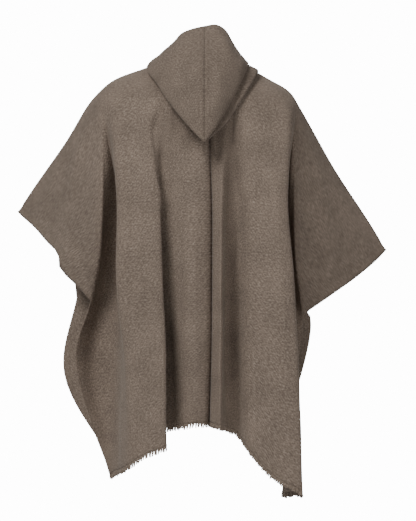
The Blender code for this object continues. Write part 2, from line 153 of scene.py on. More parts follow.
# The number of the fold line where the sleeve parts from the fall, and the crease under the
# arm, from the yoke down to where the sleeve ends and the side falls.
UNDERARM_FOLD = 7
UNDERARM = {
    ("left", "back"): ((262, 66, -112), (264, 88, -340), (272, 62, -480), (297, 8, -600)),
    ("right", "back"): ((-232, 50, -140), (-230, 72, -340), (-234, 50, -490),
                        (-256, -5, -636)),
    ("left", "front"): ((270, -74, -112), (282, -106, -340), (302, -118, -480),
                        (343, -116, -585)),
    ("right", "front"): ((-238, -72, -150), (-246, -96, -340), (-252, -98, -490),
                         (-270, -70, -632)),
}
# The sleeve's free edge, from the end of the arm to the end of the crease.
CUFF = {
    ("left", "back"): ((457, -136, -406), (419, -92, -446), (385, -48, -478), (379, -28, -516),
                       (342, -12, -553)),
    ("left", "front"): ((455, -172, -408), (414, -158, -450), (376, -145, -496),
                        (350, -130, -545)),
    ("right", "back"): ((-441, -92, -506), (-399, -68, -539), (-352, -46, -571),
                        (-304, -26, -604)),
    ("right", "front"): ((-436, -110, -506), (-390, -104, -540), (-342, -94, -574),
                         (-298, -82, -606)),
}

# The levels of the sections that every fold line passes.
CHEST_Z = -340.0
WAIST_Z = -600.0
HIP_Z = {
    ("left", "back"): -745.0,
    ("right", "back"): -705.0,
    ("left", "front"): -794.0,
    ("right", "front"): -678.0,
}
# The seam between the two widths keeps one level, and the valley under the arm is as deep as
# its section from this share of the way down to the waist.
SEAM_HIP_Z = -720.0
VALLEY_SHARE = 0.38

# One row for each fold line from the middle seam to the selvedge:
# name, chest x and y, waist x and y, hip x and y, hem x, y and z.
FOLDS = {
    ("left", "back"): (
        ("seam", -18, 122, -18, 126, -17, 126, -12, 116, -907),
        ("centre", 48, 132, 46, 138, 45, 136, 42, 130, -909),
        ("recess", 94, 118, 90, 98, 88, 90, 86, 88, -919),
        ("under", 132, 112, 136, 74, 138, 64, 144, 74, -936),
        ("edge", 117, 144, 105, 157, 100, 165, 98, 171, -961),
        ("panel", 165, 152, 158, 164, 150, 172, 148, 182, -980),
        ("ridge", 220, 142, 217, 152, 196, 164, 186, 174, -1004),
        ("flank", 218, 78, 212, 86, 206, 116, 206, 138, -1020),
        ("side", 224, 34, 226, -14, 236, -6, 224, 70, -1034),
        ("fore", 246, 60, 268, -30, 292, -30, 236, 46, -1042),
        ("selvedge", 264, 88, 297, 8, 338, 16, 246, 34, -1050),
    ),
    ("right", "back"): (
        ("seam", -18, 122, -18, 126, -17, 126, -12, 116, -907),
        ("flap", -42, 146, -40, 158, -39, 160, -38, 154, -911),
        ("underflap", -60, 108, -54, 96, -52, 94, -58, 106, -920),
        ("recess", -80, 104, -76, 84, -75, 82, -86, 90, -937),
        ("body", -112, 132, -110, 136, -110, 134, -112, 134, -973),
        ("breadth", -168, 146, -172, 160, -176, 160, -180, 160, -1042),
        ("ridge", -208, 134, -225, 148, -231, 150, -247, 152, -1077),
        ("underridge", -204, 78, -218, 72, -224, 88, -228, 106, -1084),
        ("valley", -208, 34, -212, 4, -212, 28, -208, 62, -1092),
        ("fore", -218, 58, -236, -14, -226, 0, -200, 22, -1094),
        ("selvedge", -226, 84, -258, -5, -248, -14, -204, -18, -1094),
    ),
    ("left", "front"): (
        ("seam", -18, -140, -18, -150, -16, -146, -12, -136, -891),
        ("centre", 42, -152, 40, -168, 38, -164, 36, -155, -894),
        ("recess", 84, -136, 85, -134, 84, -124, 82, -112, -908),
        ("under", 122, -128, 124, -118, 122, -112, 120, -118, -926),
        ("edge", 128, -152, 134, -172, 134, -178, 138, -180, -941),
        ("panel", 178, -148, 178, -164, 176, -164, 172, -160, -961),
        ("ridge", 214, -136, 214, -150, 206, -146, 200, -138, -986),
        ("flank", 224, -110, 232, -112, 232, -116, 228, -124, -1006),
        ("side", 236, -82, 252, -70, 270, -72, 234, -92, -1016),
        ("fore", 258, -84, 296, -80, 322, -84, 246, -66, -1022),
        ("selvedge", 282, -106, 343, -116, 374, -104, 247, -50, -1022),
    ),
    ("right", "front"): (
        ("seam", -18, -140, -18, -150, -16, -146, -12, -136, -891),
        ("flap", -40, -148, -42, -160, -42, -158, -44, -152, -894),
        ("underflap", -68, -130, -70, -132, -72, -126, -74, -120, -902),
        ("recess", -100, -126, -104, -124, -104, -120, -104, -120, -920),
        ("body", -150, -150, -150, -168, -148, -168, -146, -166, -946),
        ("breadth", -190, -134, -194, -146, -192, -144, -188, -140, -976),
        ("ridge", -214, -132, -222, -154, -222, -158, -216, -158, -1016),
        ("underridge", -216, -104, -214, -110, -216, -116, -214, -122, -1031),
        ("valley", -214, -72, -208, -70, -216, -74, -204, -92, -1046),
        ("fore", -226, -76, -238, -64, -250, -66, -200, -60, -1051),
        ("selvedge", -246, -96, -270, -70, -279, -72, -174, -34, -1056),
    ),
}

# One row for each smaller crease, hung over the folds:
# face, how far it stands out, its width toward the wearer's left and right, its (x, z) points.
CREASES = (
    ("back", 9, 26, 4, (114, -91), (134, -144), (139, -160), (131, -236), (124, -304),
     (106, -367)),
    ("back", 4, 9, 9, (-89, -400), (-86, -480), (-79, -570), (-76, -640)),
    ("back", -5, 10, 22, (-22, -150), (-18, -300), (-18, -600), (-16, -860)),
    ("back", -4, 9, 14, (202, -150), (192, -260), (186, -400), (180, -620)),
    ("back", 3, 12, 9, (172, -300), (166, -460), (160, -700), (152, -900)),
    ("back", -3, 10, 16, (60, -330), (64, -480), (60, -700), (58, -880)),
    ("back", 3, 12, 10, (22, -260), (24, -430), (20, -640), (20, -840)),
    ("back", -4, 12, 10, (-132, -220), (-136, -360), (-142, -520), (-148, -760)),
    ("back", 3, 14, 10, (-176, -260), (-188, -430), (-196, -640), (-204, -860)),
    ("back", -3, 12, 16, (-118, -620), (-124, -760), (-132, -900), (-140, -980)),
    ("back", 4, 16, 12, (300, -130), (330, -230), (352, -340), (372, -430)),
    ("back", -4, 18, 12, (272, -150), (296, -260), (312, -380), (330, -500)),
    ("back", 3, 20, 14, (360, -190), (400, -280), (430, -350), (452, -400)),
    ("back", 4, 14, 20, (-262, -160), (-296, -290), (-318, -420), (-338, -540)),
    ("back", -4, 14, 18, (-232, -190), (-256, -330), (-272, -450), (-288, -560)),
    ("back", 3, 14, 22, (-316, -240), (-366, -350), (-402, -430), (-432, -490)),
    ("front", 5, 14, 10, (60, -190), (66, -340), (62, -560), (60, -840)),
    ("front", -5, 12, 16, (-18, -150), (-18, -320), (-17, -600), (-14, -860)),
    ("front", 4, 12, 14, (-90, -220), (-96, -420), (-98, -640), (-96, -880)),
    ("front", -4, 16, 10, (150, -170), (154, -360), (156, -560), (154, -860)),
    ("front", 4, 10, 18, (-168, -170), (-176, -380), (-172, -620), (-168, -900)),
    ("front", 5, 22, 10, (196, -120), (206, -300), (200, -520), (190, -800)),
    ("front", -4, 12, 20, (-206, -150), (-212, -340), (-208, -560), (-204, -820)),
    ("front", 4, 18, 12, (318, -150), (352, -270), (384, -380), (402, -450)),
    ("front", -4, 16, 12, (286, -180), (316, -310), (340, -440), (352, -520)),
    ("front", 4, 12, 18, (-268, -190), (-312, -330), (-352, -460), (-372, -540)),
    ("front", -4, 14, 16, (-300, -230), (-356, -360), (-402, -460), (-426, -500)),
)

# The hood's own creases, in the same form.
HOOD_CREASES = (
    ("back", -4, 7, 8, (-10, -22), (-17, -36), (-13, -50)),
    ("back", 3, 12, 9, (-30, -10), (-34, -60), (-26, -110), (-14, -140)),
    ("back", -3, 12, 12, (44, 40), (56, 10), (62, -24), (52, -64)),
    ("back", 3, 12, 10, (84, 20), (86, -20), (72, -60), (48, -104)),
    ("back", 2, 9, 9, (18, 60), (22, 10), (20, -50), (14, -110)),
)

# The hood's halves, one row for each section from the middle of the back round the neck to
# the middle of the front: where the section meets the neck slit (-1 back, 0 side, 1 front),
# then the points rim, swell, drop, fold, tuck, band, under and rise. Both halves share the
# first section and the last.
HOOD_BACK = (
    -1.0, (1, 92, 103), (1, 142, 34), (1, 180, -76), (1, 198, -201), (1, 187, -192),
    (1, 190, -200), (1, 158, -120), (1, 124, -24))
HOOD_FRONT = (
    1.0, (-8, -122, -52), (-8, -121, -55), (-8, -120, -58), (-8, -118, -62),
    (-8, -115, -63), (-8, -116, -67), (-8, -112, -70), (-8, -106, -75))
HOOD = {
    "left": (
        HOOD_BACK,
        (-0.82, (30, 88, 97), (38, 140, 28), (40, 172, -66), (38, 183, -162), (35, 170, -152),
         (39, 173, -159), (33, 142, -92), (27, 118, -16)),
        (-0.62, (60, 76, 86), (78, 122, 38), (84, 144, -30), (86, 148, -102), (79, 130, -92),
         (83, 133, -104), (68, 116, -46), (54, 102, 0)),
        (-0.42, (80, 52, 66), (106, 86, 38), (122, 108, -2), (122, 116, -46), (112, 102, -34),
         (119, 107, -47), (100, 80, -5), (80, 64, 15)),
        (-0.2, (102, 22, 47), (125, 44, 26), (142, 55, 13), (150, 56, 0), (141, 46, 8),
         (146, 45, 5), (124, 38, 16), (100, 30, 25)),
        (0.0, (102, -8, 48), (115, 0, 40), (122, 2, 33), (126, 2, 26), (119, 0, 27),
         (123, 0, 21), (110, 0, 26), (97, 0, 31)),
        (0.25, (84, -50, 38), (92, -52, 36), (98, -52, 32), (102, -51, 27), (96, -49, 26),
         (100, -49, 22), (91, -47, 22), (82, -44, 22)),
        (0.6, (57, -90, -16), (62, -95, -18), (66, -97, -21), (69, -98, -25), (65, -96, -28),
         (68, -96, -32), (60, -92, -38), (53, -87, -44)),
        HOOD_FRONT,
    ),
    "right": (
        HOOD_BACK,
        (-0.82, (-28, 90, 107), (-32, 140, 30), (-32, 170, -66), (-28, 184, -160),
         (-26, 168, -152), (-44, 166, -160), (-34, 142, -92), (-27, 118, -16)),
        (-0.62, (-51, 78, 96), (-60, 126, 39), (-62, 148, -28), (-60, 152, -104),
         (-54, 136, -98), (-78, 132, -112), (-64, 116, -46), (-54, 102, 0)),
        (-0.42, (-70, 56, 68), (-83, 92, 35), (-94, 114, -1), (-91, 118, -42), (-84, 104, -32),
         (-112, 108, -57), (-97, 84, -15), (-80, 66, 10)),
        (-0.2, (-87, 24, 44), (-98, 50, 27), (-105, 64, 13), (-110, 68, 4), (-102, 56, 8),
         (-137, 44, -6), (-110, 34, 10), (-94, 27, 21)),
        (0.0, (-89, -8, 43), (-98, 0, 34), (-104, 4, 26), (-109, 8, 20), (-103, 2, 19),
         (-123, -1, 4), (-105, -7, 15), (-95, -3, 25)),
        (0.25, (-80, -50, 38), (-88, -52, 35), (-93, -52, 30), (-96, -51, 25), (-90, -49, 24),
         (-100, -49, 18), (-90, -47, 20), (-81, -44, 22)),
        (0.6, (-61, -90, -16), (-66, -95, -18), (-70, -97, -21), (-73, -98, -25),
         (-69, -96, -28), (-72, -96, -32), (-64, -92, -38), (-57, -87, -44)),
        HOOD_FRONT,
    ),
}
# Rows from each point of a section to the next, down to the neck slit.
HOOD_ROWS = (8, 10, 10, 4, 4, 7, 7, 3)
# How far the hood's edge stands over the cloth, and how much higher at the slit's ends.
HOOD_LIFT = 3.3
SLIT_END_LIFT = 3.0
SLIT_END_REACH = 0.35

# How far above the hem its stitches run, how far apart those across the seams are in stitch
# lengths, and the hood's rows that carry stitches: the rim's hem and the neck seam.
HEM_STITCH_RISE = 11.0
SEAM_PITCH = 2.2
HOOD_STITCH_ROWS = (3, -2)
# Spreads the loose ends unevenly along a hem, and how far they lean for their sway.
GOLDEN = 0.618034
STRAND_SLANT = 1.6
# How light the hood, the loose ends and the thread are beside the cloth.
HOOD_SHADE = 0.86
YARN_SHADE = 1.12
THREAD_SHADE = 0.7


class WoolSettings(bpy.types.PropertyGroup):
    colour: FloatVectorProperty(
        name="Wool", description="Main colour of the wool", subtype="COLOR",
        default=(0.19, 0.147, 0.114), min=0, max=1)
    light: FloatVectorProperty(
        name="Light fibres", description="Colour of the light fibres", subtype="COLOR",
        default=(0.4, 0.33, 0.272), min=0, max=1)
    dark: FloatVectorProperty(
        name="Dark fibres", description="Colour of the dark fibres", subtype="COLOR",
        default=(0.075, 0.056, 0.043), min=0, max=1)
    rib: FloatProperty(
        name="Twill rib", description="Distance between two ribs of the twill",
        default=0.0058, min=0.001, max=0.02, unit="LENGTH")
    thickness: FloatProperty(
        name="Cloth thickness", description="Thickness of the woven cloth",
        default=0.0022, min=0.0005, max=0.004, unit="LENGTH")


class FoldSettings(bpy.types.PropertyGroup):
    softness: IntProperty(
        name="Softness", description="How often the folds are rounded off",
        default=7, min=0, max=60)
    ripple: FloatProperty(
        name="Ripple", description="Height of the cloth's small waves",
        default=0.0016, min=0, max=0.006, unit="LENGTH")


class FringeSettings(bpy.types.PropertyGroup):
    length: FloatProperty(
        name="Strand length", description="Length of a loose yarn end",
        default=0.0125, min=0.004, max=0.04, unit="LENGTH")
    thickness: FloatProperty(
        name="Strand thickness", description="Thickness of a loose yarn end",
        default=0.0036, min=0.0005, max=0.006, unit="LENGTH")
    pitch: FloatProperty(
        name="Strand pitch", description="Distance between two loose yarn ends",
        default=0.0029, min=0.001, max=0.02, unit="LENGTH")
    sway: FloatProperty(
        name="Sway", description="How far the loose ends wander",
        default=0.0028, min=0, max=0.02, unit="LENGTH")


class StitchSettings(bpy.types.PropertyGroup):
    length: FloatProperty(
        name="Stitch length", description="Length of one stitch",
        default=0.0042, min=0.001, max=0.02, unit="LENGTH")
    thickness: FloatProperty(
        name="Thread thickness", description="Thickness of the sewing thread",
        default=0.0009, min=0.0002, max=0.004, unit="LENGTH")


class StageSettings(bpy.types.PropertyGroup):
    distance: FloatProperty(
        name="Camera distance", description="Distance from the camera to the shoulders",
        default=5.0, min=1, max=20, unit="LENGTH")
    key: FloatProperty(
        name="Key light", description="Power of the main light",
        default=196, min=0, unit="POWER")
    fill: FloatProperty(
        name="Fill light", description="Power of the two weaker lights",
        default=46, min=0, unit="POWER")


def blend(start, end, share):
    """What lies at a share of the way from start to end."""
    return start + (end - start) * share


def bend(before, start, end, after, shares):
    """Points on a smooth curve from start to end, led by the points before and after."""
    steps = [max(np.linalg.norm(q - p), LEAST_STEP) ** 0.5
             for p, q in ((before, start), (start, end), (end, after))]
    first = end - start + steps[1] * (
        (start - before) / steps[0] - (end - before) / (steps[0] + steps[1]))
    last = end - start + steps[1] * (
        (after - end) / steps[2] - (after - start) / (steps[1] + steps[2]))
    t = np.asarray(shares)[:, None]
    return (
        (2 * t**3 - 3 * t**2 + 1) * start
        + (t**3 - 2 * t**2 + t) * first
        + (3 * t**2 - 2 * t**3) * end
        + (t**3 - t**2) * last
    )


def through(points, count):
    """A smooth line through the points, with count steps between each two."""
    points = np.array(points, float)
    led = np.vstack([2 * points[0] - points[1], points, 2 * points[-1] - points[-2]])
    shares = np.arange(count) / count
    parts = [bend(*led[i:i + 4], shares) for i in range(len(points) - 1)]
    return np.vstack(parts + [points[-1:]])


def lengths_to(line):
    """How far along a line each of its points is."""
    return np.concatenate([[0], np.cumsum(np.linalg.norm(np.diff(line, axis=0), axis=1))])


def point_at(place, places, line):
    """The point of a line at a place, where places gives that of each of its points."""
    return np.array([np.interp(place, places, line[:, k]) for k in range(3)])


def along(line, share):
    """The point at a share of a line's length."""
    lengths = lengths_to(line)
    return point_at(share * lengths[-1], lengths, line)


def fine_tops(side):
    """Where every column of the cloth leaves the top edge, counted as in TOPS."""
    return through([(top, 0, 0) for top in TOPS[side]], STRIPS)[:, 0]


SHOULDERS = {side: through(SHOULDER_LINE[side], SMOOTH) for side in SIDES}


def top_point(side, face, top):
    """A point on the neck slit's edge (top below 0) or on the shoulder line."""
    if top >= 0:
        return along(SHOULDERS[side], top)
    middle = np.array(NECK_MIDDLE[face], float)
    edge = np.array(SHOULDER_LINE[side][0], float)
    angle = -top * math.pi / 2
    return np.array([
        blend(edge[0], middle[0], 1 - math.cos(angle)),
        middle[1] * math.sin(angle),
        blend(edge[2], middle[2], math.sin(angle) ** NECK_DIP),
    ])


def yoke_point(side, face, top):
    """Where a fold line that starts at top crosses the yoke."""
    start = top_point(side, face, top)
    depth, loss = YOKE[face]
    outward = OUTWARD[face] * (depth - loss * (start[0] / YOKE_REACH) ** 2)
    drop = blend(*YOKE_DROP, max(0.0, top) / TOPS[side][UNDERARM_FOLD])
    return np.array([start[0], outward, start[2] - drop])


UNDERARM_LINES = {key: through(points, SMOOTH) for key, points in UNDERARM.items()}


def fall_line(side, face, k, shoulder, start):
    """A fold line from the yoke to the hem, as a fine line of points."""
    _, chest_x, chest_y, waist_x, waist_y, hip_x, hip_y, *hem = FOLDS[side, face][k]
    return through([
        shoulder,
        start,
        (chest_x, chest_y, CHEST_Z),
        (waist_x, waist_y, WAIST_Z),
        (hip_x, hip_y, HIP_Z[side, face] if k else SEAM_HIP_Z),
        hem,
    ], SMOOTH)[SMOOTH:]


def at_levels(line, levels):
    """The points of a falling line at the given levels."""
    down = -line[:, 2]
    return np.column_stack([
        np.interp(-levels, down, line[:, 0]), np.interp(-levels, down, line[:, 1]), levels])


def over_shoulder(start, below, face, crest):
    """A line from the top edge over the shoulder, which swells out by crest on its way."""
    points = []
    for i in range(SHOULDER_ROWS + 1):
        share = (i / SHOULDER_ROWS) ** SHOULDER_SPREAD
        point = blend(start, below, share)
        point[1] += OUTWARD[face] * crest * 2 * share**0.5 * (1 - share)
        points.append(point)
    return points


def sleeve_lines(side, face, first):
    """The sleeve as lines over the shoulder, from the first one out to its free edge."""
    down = UNDERARM_LINES[side, face]
    cuff = through([SHOULDER_LINE[side][-1], *CUFF[side, face], down[-1]], SMOOTH)
    shares = (np.arange(SHOULDER_ROWS + 1) / SHOULDER_ROWS) ** SHOULDER_SPREAD
    edge = np.array([along(cuff, share) for share in shares])
    straight = np.array(over_shoulder(cuff[0], cuff[-1], face, CREST_CUFF))
    lines = [np.array(first)]
    for i in range(1, UPPER_ROWS + 1):
        share = i / UPPER_ROWS
        start = top_point(side, face, blend(TOPS[side][UNDERARM_FOLD], 1, share))
        crest = blend(CREST_SHOULDER, CREST_CUFF, share)
        line = np.array(over_shoulder(start, along(down, share), face, crest))
        lines.append(line + (edge - straight) * share**CUFF_REACH)
    return lines


def drape(side, face):
    """Half a panel in three sheets of points: the shoulder, the sleeve and the fall."""
    tops = TOPS[side]
    lines = []
    for k in range(UNDERARM_FOLD + 1):
        if k == UNDERARM_FOLD:
            below, crest = UNDERARM_LINES[side, face][0], CREST_SHOULDER
        else:
            below = yoke_point(side, face, tops[k])
            crest = blend(CREST_SHOULDER, CREST_NECK, max(0.0, -tops[k]))
        lines.append(over_shoulder(top_point(side, face, tops[k]), below, face, crest))
    sleeve = sleeve_lines(side, face, lines[-1])
    wide = UNDERARM_FOLD * STRIPS + 1
    # The sleeve's line a sixth of the way out leads the shoulder's last strip.
    beyond = sleeve[UPPER_ROWS // 6]
    shoulder = np.array([
        through([line[row] for line in lines] + [beyond[row]], STRIPS)[:wide]
        for row in range(SHOULDER_ROWS + 1)
    ])
    shoulder[0] = [top_point(side, face, top) for top in fine_tops(side)[:wide]]
    crease = np.array([line[-1] for line in sleeve])
    steps = np.arange(1, UPPER_ROWS + 1) / UPPER_ROWS
    lower = np.arange(1, LOWER_ROWS + 1) / LOWER_ROWS
    last = len(tops) - 1
    falls = []
    for k in range(last + 1):
        over = lines[min(k, UNDERARM_FOLD)]
        line = fall_line(side, face, k, over[SHOULDER_ROWS // 2], over[-1])
        levels = blend(over[-1][2], WAIST_Z, steps)
        place = max(0.0, (k - UNDERARM_FOLD) / (last - UNDERARM_FOLD))
        levels = blend(levels, crease[1:, 2], place)
        upper = crease[1:] if k == last else at_levels(line, levels)
        hem_z = FOLDS[side, face][k][-1]
        falls.append(np.vstack([upper, at_levels(line, blend(upper[-1][2], hem_z, lower))]))
    for k in range(UNDERARM_FOLD + 1, last):
        place = (k - UNDERARM_FOLD) / (last - UNDERARM_FOLD)
        flat = blend(falls[UNDERARM_FOLD], falls[last], place)
        depth = np.clip(steps / VALLEY_SHARE, 0, 1)[:, None]
        falls[k][:UPPER_ROWS] = blend(flat[:UPPER_ROWS], falls[k][:UPPER_ROWS], depth)
    falls = np.array(falls)
    hang = [through(falls[:, row], STRIPS) for row in range(falls.shape[1])]
    repeated = [crease[0]] * (len(hang[0]) - shoulder.shape[1])
    hang.insert(0, np.vstack([shoulder[-1], repeated]))
    return shoulder, np.array(sleeve).transpose(1, 0, 2), np.array(hang)


def cut_places(face):
    """For the three sheets of half a panel, where each point lies on the flat cloth."""
    yoke, waist, hem = CUT_DEPTHS
    columns = (len(TOPS["left"]) - 1) * STRIPS
    first = UNDERARM_FOLD * STRIPS
    across = np.arange(columns + 1) / columns * CUT_WIDTH
    edge = blend(across[first], CUT_WIDTH, np.arange(UPPER_ROWS + 1) / UPPER_ROWS)
    down = blend(yoke, waist, np.arange(UPPER_ROWS + 1) / UPPER_ROWS)
    over = np.arange(SHOULDER_ROWS + 1) / SHOULDER_ROWS
    shoulder = [[(u, yoke * v) for u in across[:first + 1]] for v in over]
    sleeve = [[(edge[i], down[i] * v) for i in range(UPPER_ROWS + 1)] for v in over]
    hang = []
    for i in range(UPPER_ROWS + 1):
        fan = blend(across[first], edge[i], np.arange(1, columns - first + 1) / (columns - first))
        hang.append([(u, down[i]) for u in [*across[:first + 1], *fan]])
    for i in range(1, LOWER_ROWS + 1):
        hang.append([(u, blend(waist, hem, i / LOWER_ROWS)) for u in across])
    return [np.array(sheet) * (1, OUTWARD[face]) for sheet in (shoulder, sleeve, hang)]


class Cloth:
    """A sheet of cloth while it is being shaped: its points in millimetres and its faces."""

    def __init__(self):
        self.points, self.places, self.faces = [], [], []
        self.number = {}
        self.rows = {}

    def add(self, point, place):
        key = tuple(np.round(point, 3) + 0.0)
        if key not in self.number:
            self.number[key] = len(self.points)
            self.points.append(point)
            self.places.append(place)
        return self.number[key]

    def lay(self, sheet, places, outward):
        """Adds a sheet of points as faces, and gives the number of each point."""
        index = np.array([
            [self.add(point, place) for point, place in zip(row, row_places)]
            for row, row_places in zip(sheet, places)
        ])
        for row in range(index.shape[0] - 1):
            for column in range(index.shape[1] - 1):
                face = (index[row, column], index[row, column + 1],
                        index[row + 1, column + 1], index[row + 1, column])
                face = tuple(dict.fromkeys(face if outward else face[::-1]))
                if len(face) > 2:
                    self.faces.append(face)
        return index

    def close(self):
        """Finds the edges and the border, once every sheet is laid."""
        self.points = np.array(self.points)
        self.places = np.array(self.places)
        counts = {}
        for face in self.faces:
            for pair in zip(face, face[1:] + face[:1]):
                pair = tuple(sorted(pair))
                counts[pair] = counts.get(pair, 0) + 1
        self.edges = np.array(sorted(counts))
        self.border = {corner for pair, count in counts.items() if count == 1 for corner in pair}

    def soften(self, rounds):
        """Rounds the folds off without drawing the cloth in, with the borders held."""
        free = np.ones(len(self.points))
        free[sorted(self.border)] = 0
        a, b = self.edges.T
        degree = np.bincount(self.edges.ravel(), minlength=len(self.points))[:, None]
        for step in range(2 * rounds):
            total = np.zeros_like(self.points)
            np.add.at(total, a, self.points[b])
            np.add.at(total, b, self.points[a])
            moved = total / degree - self.points
            self.points = self.points + moved * free[:, None] * SOFTEN[step % 2]

    def normals(self):
        total = np.zeros_like(self.points)
        quads = np.array([face if len(face) == 4 else (*face, face[-1]) for face in self.faces])
        corners = self.points[quads]
        normal = np.cross(corners[:, 2] - corners[:, 0], corners[:, 3] - corners[:, 1])
        normal /= np.maximum(np.linalg.norm(normal, axis=1), TINY)[:, None]
        for k in range(4):
            np.add.at(total, quads[:, k], normal)
        return total / np.maximum(np.linalg.norm(total, axis=1), TINY)[:, None]

    def press(self, creases):
        """Moves the cloth out or in along each crease that lies on its face."""
        outward = self.normals()
        offset = np.zeros(len(self.points))
        held = self.beside_seam()
        for face, height, width_left, width_right, *route in creases:
            line = through([(x, 0, z) for x, z in route], SMOOTH)[:, (0, 2)]
            near = np.full(len(self.points), FAR)
            side = np.zeros(len(self.points))
            share = np.zeros(len(self.points))
            flat = self.points[:, (0, 2)]
            for i, (start, end) in enumerate(zip(line, line[1:])):
                run = end - start
                t = np.clip((flat - start) @ run / (run @ run), 0, 1)
                gap = flat - (start + t[:, None] * run)
                distance = np.linalg.norm(gap, axis=1)
                closer = distance < near
                near[closer] = distance[closer]
                side[closer] = gap[closer, 0]
                share[closer] = (i + t[closer]) / (len(line) - 1)
            width = np.where(side > 0, width_left, width_right)
            fade = np.clip(np.minimum(share, 1 - share) * CREASE_ENDS, 0, 1)
            facing = np.clip(outward[:, 1] * OUTWARD[face] * CREASE_FACING, 0, 1)
            offset += height * np.exp(-(near / width) ** 2) * fade**0.5 * facing
        self.points = self.points + outward * (offset * held)[:, None]

    def draw_seam(self):
        """Draws the cloth in along the middle seam and beside the selvedge's hem."""
        u, v = self.places.T
        depth = SEAM_DEPTH * np.exp(-(u / SEAM_WIDTH) ** 2)
        self.points[:, 1] -= np.sign(v) * depth
        width, low = SELVEDGE_GROOVE
        hem = low * np.exp(-((CUT_WIDTH - SELVEDGE_HEM - u) / width) ** 2)
        self.points -= self.normals() * hem[:, None]

    def beside_seam(self):
        """How free each point is to move: 0 on the middle seam, 1 a little way from it."""
        return np.clip(self.places[:, 0] / SEAM_REACH, 0, 1)

    def ripple(self, height):
        """Small uneven waves, as in cloth that has been worn."""
        outward = self.normals()
        where = np.hstack([self.places, self.points[:, 1:]]) / 1000
        wave = sum(
            share * np.sin(where @ waves + turn * np.sin(where @ turned))
            for share, waves, turn, turned in WAVES)
        self.points = self.points + outward * (wave * height * self.beside_seam())[:, None]


def panel_cloth(side, folds):
    """One width of cloth, from the front hem over the shoulder to the back hem."""
    cloth = Cloth()
    for face in FACES:
        outward = (side == "left") == (face == "back")
        for sheet, places in zip(drape(side, face), cut_places(face)):
            index = cloth.lay(sheet, places, outward)
            if len(sheet[0]) == UNDERARM_FOLD * STRIPS + 1:
                cloth.rows["neck", face] = index[0, :TOPS[side].index(0.0) * STRIPS + 1]
                upper = index[:, 0]
        cloth.rows["hem", face] = index[-1]
        cloth.rows["above", face] = index[-2]
        cloth.rows["seam", face] = np.concatenate([upper, index[1:, 0]])
    cloth.close()
    cloth.soften(folds.softness)
    cloth.press(CREASES)
    cloth.soften(SOFTEN_CREASES)
    cloth.ripple(folds.ripple / MM)
    cloth.draw_seam()
    return cloth


def new_object(name, data):
    made = bpy.data.objects.new(name, data)
    bpy.context.scene.collection.objects.link(made)
    return made


def smooth(mesh):
    mesh.polygons.foreach_set("use_smooth", np.ones(len(mesh.polygons), bool))


def make_mesh(name, cloth):
    """A smooth object from a cloth, with its places on the flat cloth as UVs."""
    mesh = bpy.data.meshes.new(name)
    mesh.from_pydata((cloth.points * MM).tolist(), [],
                     [tuple(int(c) for c in face) for face in cloth.faces])
    layer = mesh.uv_layers.new(name="cut")
    corners = np.zeros(len(mesh.loops), np.int32)
    mesh.loops.foreach_get("vertex_index", corners)
    layer.data.foreach_set("uv", (cloth.places * MM)[corners].astype(np.float32).ravel())
    smooth(mesh)
    mesh.update()
    return new_object(name, mesh)


def thicken(piece, thickness):
    """Gives a sheet its thickness, half to each side."""
    wall = piece.modifiers.new("thickness", "SOLIDIFY")
    wall.thickness = thickness
    wall.offset = 0
    wall.use_rim = True


def node(tree, kind, place, inputs=None, **settings):
    """A new node. Its inputs, by name or number, take values or other nodes' outputs."""
    made = tree.nodes.new(kind)
    made.location = place
    for name, value in settings.items():
        setattr(made, name, value)
    for name, value in (inputs or {}).items():
        if isinstance(value, bpy.types.NodeSocket):
            tree.links.new(value, made.inputs[name])
        else:
            made.inputs[name].default_value = value
    return made


